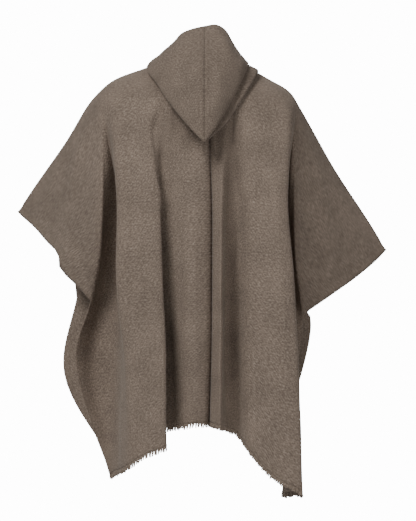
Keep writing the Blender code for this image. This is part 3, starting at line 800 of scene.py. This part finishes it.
def wool(name, shade, settings, coordinates="UV"):
    """Heathered wool twill. shade makes a piece lighter or darker than the cloth."""
    material = bpy.data.materials.new(name)
    material.use_nodes = True
    tree = material.node_tree
    where = node(tree, "ShaderNodeTexCoord", (-1500, 0)).outputs
    # The ribs of the twill run at a slant across the flat cloth.
    turn = node(tree, "ShaderNodeMapping", (-1300, 200), {
        "Vector": where[coordinates], "Rotation": (0, 0, math.radians(38))})
    rib = node(tree, "ShaderNodeTexWave", (-1080, 200), {
        "Vector": turn.outputs["Vector"], "Scale": math.pi / 10 / settings.rib,
        "Distortion": 0.5, "Detail": 1.0, "Detail Scale": 3.0,
    }, wave_type="BANDS", bands_direction="X").outputs["Fac"]
    # Flecks a yarn or two wide, drawn out across the cloth.
    stretch = node(tree, "ShaderNodeMapping", (-1300, -100), {
        "Vector": where[coordinates], "Scale": (0.6, 1, 1)})
    fleck = node(tree, "ShaderNodeTexNoise", (-1080, -100), {
        "Vector": stretch.outputs["Vector"], "Scale": 260.0, "Detail": 5.0, "Roughness": 0.8,
    }).outputs["Fac"]
    patch = node(tree, "ShaderNodeTexNoise", (-1080, -400), {
        "Vector": where["Object"], "Scale": 16.0, "Detail": 4.0, "Roughness": 0.6})
    ramp = node(tree, "ShaderNodeValToRGB", (-860, -100), {"Fac": fleck})
    stops = ramp.color_ramp.elements
    stops.new(0.5)
    for stop, position, colour in zip(
            stops, (0.26, 0.5, 0.75), (settings.dark, settings.colour, settings.light)):
        stop.position = position
        stop.color = (*(c * shade for c in colour), 1)
    # The grooves between the ribs and the worn patches are a little darker.
    groove = node(tree, "ShaderNodeMapRange", (-860, 200), {
        "Value": rib, "To Min": 0.92, "To Max": 1.06})
    worn = node(tree, "ShaderNodeMapRange", (-860, -400), {
        "Value": patch.outputs["Fac"], "From Min": 0.3, "From Max": 0.7,
        "To Min": 0.86, "To Max": 1.12})
    product = node(tree, "ShaderNodeMath", (-640, 100), {
        0: groove.outputs["Result"], 1: worn.outputs["Result"]}, operation="MULTIPLY")
    tint = node(tree, "ShaderNodeVectorMath", (-420, 0), {
        0: ramp.outputs["Color"], "Scale": product.outputs["Value"]}, operation="SCALE")
    # The relief of the ribs and the nap.
    relief = node(tree, "ShaderNodeMath", (-640, -200), {0: rib, 1: 0.4, 2: fleck},
                  operation="MULTIPLY_ADD")
    bump = node(tree, "ShaderNodeBump", (-420, -250), {
        "Height": relief.outputs["Value"], "Strength": 0.45, "Distance": 0.001})
    shader = tree.nodes["Principled BSDF"].inputs
    shader["Roughness"].default_value = 0.94
    shader["Specular IOR Level"].default_value = 0.18
    shader["Sheen Weight"].default_value = 0.13
    shader["Sheen Roughness"].default_value = 0.55
    shader["Sheen Tint"].default_value = (0.8, 0.72, 0.64, 1)
    tree.links.new(tint.outputs["Vector"], shader["Base Color"])
    tree.links.new(bump.outputs["Normal"], shader["Normal"])
    return material


def finish_piece(piece, material, replaced=()):
    """Gives a piece its material, its body and the nodes that it stands for."""
    piece.data.materials.clear()
    piece.data.materials.append(material)
    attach(piece, BODY)
    if replaced:
        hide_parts(*replaced)
    return piece


def pick(line, place, count):
    """A point on a smooth line at a number of control points, whole or not."""
    return point_at(place, np.arange(len(line)) / count, line)


def hood_cloth(side, panel):
    """Half the hood, from its rim down to the neck slit."""
    outward = panel.normals()
    neck = {}
    for face in FACES:
        neck.update(zip(OUTWARD[face] * fine_tops(side), panel.rows["neck", face]))
    sections = np.array([section[1:] for section in HOOD[side]], float)
    marks = [section[0] for section in HOOD[side]]
    lines = [through(sections[:, k], SMOOTH) for k in range(sections.shape[1])]
    columns = []
    for top, corner in sorted(neck.items()):
        number = np.interp(top, marks, range(len(marks)))
        lift = HOOD_LIFT + SLIT_END_LIFT * max(0, 1 - abs(top) / SLIT_END_REACH)
        seam = panel.points[corner] + outward[corner] * lift
        column = through([pick(line, number, SMOOTH) for line in lines] + [seam], SMOOTH)
        stations = [k + i / count for k, count in enumerate(HOOD_ROWS) for i in range(count)]
        columns.append([pick(column, station, SMOOTH) for station in stations] + [seam])
    sheet = np.array(columns).transpose(1, 0, 2)
    places = np.zeros((*sheet.shape[:2], 2))
    places[:, 1:, 0] = np.cumsum(np.linalg.norm(np.diff(sheet, axis=1), axis=2), axis=1)
    places[1:, :, 1] = np.cumsum(np.linalg.norm(np.diff(sheet, axis=0), axis=2), axis=0)
    cloth = Cloth()
    index = cloth.lay(sheet, places, side == "left")
    cloth.rows["across"] = index
    cloth.rows["seam"] = index[:, 0]
    cloth.close()
    cloth.press(HOOD_CREASES)
    return cloth


def new_tree(name, sockets):
    """A tree with its named inputs, and the outputs that give them inside it."""
    tree = bpy.data.node_groups.new(name, "GeometryNodeTree")
    add = tree.interface.new_socket
    add("Geometry", in_out="INPUT", socket_type="NodeSocketGeometry")
    add("Geometry", in_out="OUTPUT", socket_type="NodeSocketGeometry")
    for key, kind, value in sockets:
        add(key, in_out="INPUT", socket_type="NodeSocket" + kind).default_value = value
    add("Material", in_out="INPUT", socket_type="NodeSocketMaterial")
    return tree, node(tree, "NodeGroupInput", (-1200, 0)).outputs


def named(tree, name, place):
    """A vector that each point of the source carries."""
    return node(tree, "GeometryNodeInputNamedAttribute", place, {"Name": name},
                data_type="FLOAT_VECTOR").outputs["Attribute"]


def maths(tree, operation, first, second, place):
    return node(tree, "ShaderNodeMath", place, {0: first, 1: second},
                operation=operation).outputs["Value"]


def scaled(tree, vector, scale, place):
    return node(tree, "ShaderNodeVectorMath", place, {0: vector, "Scale": scale},
                operation="SCALE").outputs["Vector"]


def end_tree(tree, start, mesh):
    """Every tree ends with real geometry and its material."""
    real = node(tree, "GeometryNodeRealizeInstances", (600, 0), {"Geometry": mesh})
    finish = node(tree, "GeometryNodeSetMaterial", (800, 0), {
        "Geometry": real.outputs["Geometry"], "Material": start["Material"]})
    node(tree, "NodeGroupOutput", (1000, 0), {"Geometry": finish.outputs["Geometry"]})
    return tree


def strand_tree():
    """Loose yarn ends that hang from the points of a mesh."""
    tree, start = new_tree("loose_yarn_ends", (
        ("Length", "Float", 0.014), ("Thickness", "Float", 0.002), ("Sway", "Float", 0.004),
        ("Seed", "Int", 1)))
    line = node(tree, "GeometryNodeCurvePrimitiveLine", (-1200, 300), {"End": (0, 0, -1)})
    steps = node(tree, "GeometryNodeResampleCurve", (-1000, 300), {
        "Curve": line.outputs["Curve"], "Count": 7})
    turn = node(tree, "FunctionNodeAlignRotationToVector", (-1000, -200), {
        "Vector": named(tree, "up", (-1200, -250))}, axis="Z")
    # Inputs 2 and 3 are the shortest and the longest strand as shares of the length.
    spread = node(tree, "FunctionNodeRandomValue", (-1000, -450), {
        2: 0.9, 3: 1.1, "Seed": start["Seed"]})
    hang = node(tree, "GeometryNodeInstanceOnPoints", (-600, 0), {
        "Points": start["Geometry"], "Instance": steps.outputs["Curve"],
        "Rotation": turn.outputs["Rotation"],
        "Scale": maths(tree, "MULTIPLY", start["Length"], spread.outputs[1], (-800, -300))})
    loose = node(tree, "GeometryNodeRealizeInstances", (-400, 0), {
        "Geometry": hang.outputs["Instances"]})
    share = node(tree, "GeometryNodeSplineParameter", (-600, -300)).outputs["Factor"]
    bent = maths(tree, "POWER", share, 1.4, (-400, -300))
    # Each strand wanders from its line by noise, and leans along the hem.
    noise = node(tree, "ShaderNodeTexNoise", (-600, -500), {
        "W": start["Seed"], "Scale": 95.0, "Detail": 1.0}, noise_dimensions="4D")
    centre = node(tree, "ShaderNodeVectorMath", (-400, -500), {
        0: noise.outputs["Color"], 1: (0.5, 0.5, 0.5)}, operation="SUBTRACT")
    reach = maths(tree, "MULTIPLY", bent, start["Sway"], (-200, -300))
    reach = maths(tree, "MULTIPLY", reach, 4.0, (-300, -650))
    both = node(tree, "ShaderNodeVectorMath", (0, -500), {
        0: scaled(tree, centre.outputs["Vector"], reach, (-200, -500)),
        1: scaled(tree, named(tree, "lean", (-400, -800)), bent, (-200, -750)),
    }, operation="ADD")
    move = node(tree, "GeometryNodeSetPosition", (0, 0), {
        "Geometry": loose.outputs["Geometry"], "Offset": both.outputs["Vector"]})
    taper = node(tree, "ShaderNodeMapRange", (0, -250), {
        "Value": share, "To Min": 0.55, "To Max": 0.42})
    ring = node(tree, "GeometryNodeCurvePrimitiveCircle", (200, 250), {
        "Resolution": 5, "Radius": 1.0})
    skin = node(tree, "GeometryNodeCurveToMesh", (400, 0), {
        "Curve": move.outputs["Geometry"], "Profile Curve": ring.outputs["Curve"],
        "Fill Caps": True,
        "Scale": maths(tree, "MULTIPLY", taper.outputs["Result"], start["Thickness"],
                       (200, -350))})
    return end_tree(tree, start, skin.outputs["Mesh"])


def stitch_tree():
    """A row of stitches along a curve, each tipped across it by the same angle."""
    tree, start = new_tree("row_of_stitches", (
        ("Pitch", "Float", 0.006), ("Length", "Float", 0.004), ("Thickness", "Float", 0.001),
        ("Tip", "Float", 0.0)))
    row = node(tree, "GeometryNodeCurveToPoints", (-600, 0), {
        "Curve": start["Geometry"], "Length": start["Pitch"]}, mode="LENGTH")
    thread = node(tree, "GeometryNodeMeshUVSphere", (-600, 300), {
        "Segments": 6, "Rings": 5, "Radius": 0.5})
    tip = node(tree, "ShaderNodeCombineXYZ", (-600, -300), {"X": start["Tip"]})
    angle = node(tree, "FunctionNodeEulerToRotation", (-500, -350), {
        "Euler": tip.outputs["Vector"]})
    tilt = node(tree, "FunctionNodeRotateRotation", (-400, -150), {
        "Rotation": row.outputs["Rotation"], "Rotate By": angle.outputs["Rotation"],
    }, rotation_space="LOCAL")
    size = node(tree, "ShaderNodeCombineXYZ", (-400, -400), {
        "X": start["Thickness"], "Y": start["Thickness"], "Z": start["Length"]})
    sew = node(tree, "GeometryNodeInstanceOnPoints", (-200, 0), {
        "Points": row.outputs["Points"], "Instance": thread.outputs["Mesh"],
        "Rotation": tilt.outputs["Rotation"], "Scale": size.outputs["Vector"]})
    return end_tree(tree, start, sew.outputs["Instances"])


def grow(source, name, tree, **values):
    """Runs a tree on a source object and keeps the result as a plain mesh."""
    modifier = source.modifiers.new("grow", "NODES")
    modifier.node_group = tree
    for item in tree.interface.items_tree:
        key = item.name.lower()
        if item.item_type == "SOCKET" and item.in_out == "INPUT" and key in values:
            modifier[item.identifier] = values[key]
    graph = bpy.context.evaluated_depsgraph_get()
    mesh = bpy.data.meshes.new_from_object(source.evaluated_get(graph))
    mesh.name = name
    bpy.data.objects.remove(source)
    if not mesh.polygons:
        raise RuntimeError(name + " came out empty")
    smooth(mesh)
    return new_object(name, mesh)


def root_points(name, roots, ups, leans):
    """A mesh of bare points, each with its upward direction and its lean."""
    mesh = bpy.data.meshes.new(name)
    mesh.from_pydata((np.array(roots) * MM).tolist(), [], [])
    for key, values in (("up", ups), ("lean", leans)):
        attribute = mesh.attributes.new(key, "FLOAT_VECTOR", "POINT")
        attribute.data.foreach_set("vector", np.array(values, np.float32).ravel())
    return new_object(name, mesh)


def curve_through(name, points):
    data = bpy.data.curves.new(name, "CURVE")
    data.dimensions = "3D"
    spline = data.splines.new("POLY")
    spline.points.add(len(points) - 1)
    for place, point in zip(spline.points, np.array(points) * MM):
        place.co = (*point, 1)
    return new_object(name, data)


def hem_roots(cloth, face, pitch, slant):
    """Where the loose ends leave one hem, which way is up there, and how they lean."""
    hem = cloth.points[cloth.rows["hem", face]]
    above = cloth.points[cloth.rows["above", face]]
    lengths = lengths_to(hem)
    count = int(lengths[-1] / pitch)
    roots, ups, leans = [], [], []
    for i in range(count):
        chance = (i * GOLDEN) % 1 - 0.5
        at = (i + 0.5 + 0.5 * chance) * lengths[-1] / count
        root = point_at(at, lengths, hem)
        over = point_at(at, lengths, above)
        ahead = point_at(at + pitch, lengths, hem)
        up = (over - root) / np.linalg.norm(over - root)
        run = (ahead - root) / max(np.linalg.norm(ahead - root), LEAST_STEP)
        roots.append(root + up)
        ups.append(up)
        leans.append(run * slant * (0.5 + chance))
    return roots, ups, leans


PANELS, HOODS, PIECES = {}, {}, {}


class PONCHO_OT_panels(bpy.types.Operator):
    """Make the two widths of cloth"""

    bl_idname = "poncho.panels"
    bl_label = "Panels"

    def execute(self, context):
        settings = context.scene.poncho_wool
        for side in SIDES:
            cloth = panel_cloth(side, context.scene.poncho_folds)
            PANELS[side] = cloth
            piece = make_mesh("cloth_" + side, cloth)
            thicken(piece, settings.thickness)
            finish_piece(piece, wool("wool_" + side, 1.0, settings),
                         ["panel_" + side])
            PIECES[side] = [piece]
        return {"FINISHED"}


class PONCHO_OT_hood(bpy.types.Operator):
    """Make the two halves of the hood"""

    bl_idname = "poncho.hood"
    bl_label = "Hood"

    def execute(self, context):
        settings = context.scene.poncho_wool
        for side in SIDES:
            cloth = hood_cloth(side, PANELS[side])
            piece = make_mesh("hood_cloth_" + side, cloth)
            thicken(piece, settings.thickness)
            finish_piece(piece, wool("hood_wool_" + side, HOOD_SHADE, settings),
                         ["hood_" + side])
            HOODS[side] = (cloth, piece)
        return {"FINISHED"}


class PONCHO_OT_fringe(bpy.types.Operator):
    """Make the loose yarn ends below the four hems"""

    bl_idname = "poncho.fringe"
    bl_label = "Fringe"

    def execute(self, context):
        settings = context.scene.poncho_fringe
        material = wool("loose_yarn", YARN_SHADE, context.scene.poncho_wool, "Object")
        tree = strand_tree()
        for number, (side, face) in enumerate((s, f) for s in SIDES for f in FACES):
            slant = OUTWARD[side] * settings.sway * STRAND_SLANT
            source = root_points("roots", *hem_roots(
                PANELS[side], face, settings.pitch / MM, slant))
            name = "loose_ends_%s_%s" % (face, side)
            piece = grow(source, name, tree, length=settings.length,
                         thickness=settings.thickness, sway=settings.sway, seed=number + 3,
                         material=material)
            finish_piece(piece, material, ["fringe_%s_%s" % (face, side)])
            PIECES[side].append(piece)
        return {"FINISHED"}


def above_hem(cloth, face, rise, lift):
    """A line a little way above one hem, lifted off the cloth."""
    hem, above = cloth.rows["hem", face], cloth.rows["above", face]
    up = cloth.points[above] - cloth.points[hem]
    up /= np.linalg.norm(up, axis=1)[:, None]
    return cloth.points[hem] + up * rise + cloth.normals()[hem] * lift


class PONCHO_OT_stitches(bpy.types.Operator):
    bl_idname = "poncho.stitches"
    bl_label = "Stitches"

    def execute(self, context):
        settings = context.scene.poncho_stitch
        lift = context.scene.poncho_wool.thickness / 2 / MM
        material = wool("thread", THREAD_SHADE, context.scene.poncho_wool, "Object")
        tree = stitch_tree()

        def sew(name, line, owner, pitch=1.5, tip=0.0):
            piece = grow(curve_through(name + "_line", line), name, tree,
                         pitch=settings.length * pitch, length=settings.length,
                         thickness=settings.thickness, tip=tip, material=material)
            finish_piece(piece, material)
            if owner is not None:
                PIECES[owner].append(piece)
            return piece

        for side in SIDES:
            cloth = PANELS[side]
            for face in FACES:
                sew("hem_stitches_%s_%s" % (face, side),
                    above_hem(cloth, face, HEM_STITCH_RISE, lift), side)
        outward = PANELS["left"].normals()
        for face in FACES:
            seam = PANELS["left"].rows["seam", face]
            line = PANELS["left"].points[seam] + outward[seam] * lift
            line[:, 0] = PANELS["left"].points[seam, 0]
            sew("seam_stitches_" + face, line, "left", SEAM_PITCH, math.pi / 2)
        for side in SIDES:
            cloth, _ = HOODS[side]
            outward = cloth.normals()
            for number, row in enumerate(HOOD_STITCH_ROWS):
                line = (cloth.points + outward * lift)[cloth.rows["across"][row]]
                sew("hood_stitches_%d_%s" % (number, side), line, None)
        seam = HOODS["left"][0].rows["seam"]
        line = HOODS["left"][0].points[seam] + (0, lift, 0)
        sew("hood_seam_stitches", line, None, SEAM_PITCH, math.pi / 2)
        for side in SIDES:
            cloth, *pieces = PIECES[side]
        return {"FINISHED"}


class PONCHO_OT_stage(bpy.types.Operator):
    """Make the floor, the lights and the camera"""

    bl_idname = "poncho.stage"
    bl_label = "Stage"

    def execute(self, context):
        settings = context.scene.poncho_stage
        make_floor()
        make_world()
        for name, (place, width, power) in LIGHTS.items():
            area_light(name, place, width, getattr(settings, power))
        make_camera(settings.distance)
        return {"FINISHED"}


class PONCHO_PT_sidebar(bpy.types.Panel):
    """Shows the poncho's settings and the buttons that make its pieces"""

    bl_idname = "PONCHO_PT_sidebar"
    bl_label = "Poncho"
    bl_space_type = "VIEW_3D"
    bl_region_type = "UI"
    bl_category = "Poncho"

    def draw(self, context):
        for name, kind in SETTINGS.items():
            box = self.layout.box()
            for key in kind.__annotations__:
                box.prop(getattr(context.scene, name), key)
        for operator in OPERATORS:
            self.layout.operator(operator.bl_idname)


FLOOR_Z = -1.46
FLOOR_RADIUS = 2.0
# The photograph's middle, in metres, and the height of the view there.
VIEW_MIDDLE = (-0.0078, -0.4953)
PHOTO_ROWS = 521
PIXEL = 0.0026
VIEW_HEIGHT = PHOTO_ROWS * PIXEL
SENSOR = 36.0
# The light that the world gives, and how bright it is in the camera.
WORLD_LIGHT = 0.2
WORLD_SEEN = 14.0
# Each light's place, the width of its square and the setting with its power.
LIGHTS = {
    "key_light": ((2.0, 3.2, 2.9), 1.8, "key"),
    "fill_light": ((-2.6, 3.4, 0.6), 2.2, "fill"),
    "front_light": ((0.5, -3.2, 1.6), 2.2, "fill"),
}
LIGHT_TARGET = (0, 0, -0.5)


def area_light(name, place, width, power):
    data = bpy.data.lights.new(name, "AREA")
    data.size = width
    data.energy = power
    made = new_object(name, data)
    made.location = place
    direction = Vector(LIGHT_TARGET) - made.location
    made.rotation_euler = direction.to_track_quat("-Z", "Y").to_euler()


def make_floor():
    floor = bmesh.new()
    bmesh.ops.create_circle(floor, cap_ends=True, segments=96, radius=FLOOR_RADIUS)
    mesh = bpy.data.meshes.new("floor")
    floor.to_mesh(mesh)
    floor.free()
    made = new_object("floor", mesh)
    made.location = (0, 0, FLOOR_Z)
    material = bpy.data.materials.new("pale_floor")
    material.use_nodes = True
    shader = material.node_tree.nodes["Principled BSDF"].inputs
    shader["Base Color"].default_value = (0.86, 0.86, 0.87, 1)
    shader["Roughness"].default_value = 0.9
    mesh.materials.append(material)


def make_world():
    """A soft white world, brighter where the camera sees it than as a light."""
    world = bpy.data.worlds.new("studio")
    world.use_nodes = True
    tree = world.node_tree
    lit = tree.nodes["Background"]
    lit.inputs["Color"].default_value = (1, 1, 1, 1)
    lit.inputs["Strength"].default_value = WORLD_LIGHT
    seen = node(tree, "ShaderNodeBackground", (0, -200), {
        "Color": (1, 1, 1, 1), "Strength": WORLD_SEEN})
    path = node(tree, "ShaderNodeLightPath", (0, 500))
    mix = node(tree, "ShaderNodeMixShader", (200, 0), {
        "Fac": path.outputs["Is Camera Ray"], 1: lit.outputs["Background"],
        2: seen.outputs["Background"]})
    tree.links.new(mix.outputs["Shader"], tree.nodes["World Output"].inputs["Surface"])
    bpy.context.scene.world = world


def make_camera(distance):
    data = bpy.data.cameras.new("camera")
    data.sensor_width = SENSOR
    data.lens = SENSOR * distance / VIEW_HEIGHT
    camera = new_object("camera", data)
    camera.location = (VIEW_MIDDLE[0], distance, VIEW_MIDDLE[1])
    camera.rotation_euler = (math.pi / 2, 0, math.pi)
    bpy.context.scene.camera = camera


SETTINGS = {
    "poncho_wool": WoolSettings,
    "poncho_folds": FoldSettings,
    "poncho_fringe": FringeSettings,
    "poncho_stitch": StitchSettings,
    "poncho_stage": StageSettings,
}
OPERATORS = (PONCHO_OT_panels, PONCHO_OT_hood, PONCHO_OT_fringe,
             PONCHO_OT_stitches, PONCHO_OT_stage)


def register():
    for kind in (*SETTINGS.values(), *OPERATORS, PONCHO_PT_sidebar):
        bpy.utils.register_class(kind)
    for name, kind in SETTINGS.items():
        setattr(bpy.types.Scene, name, PointerProperty(type=kind))


def unregister():
    for name in SETTINGS:
        delattr(bpy.types.Scene, name)
    for kind in reversed((*SETTINGS.values(), *OPERATORS, PONCHO_PT_sidebar)):
        bpy.utils.unregister_class(kind)


def main():
    register()
    bpy.ops.poncho.panels()
    bpy.ops.poncho.hood()
    bpy.ops.poncho.fringe()
    bpy.ops.poncho.stitches()
    bpy.ops.poncho.stage()


if __name__ == "__main__":
    main()
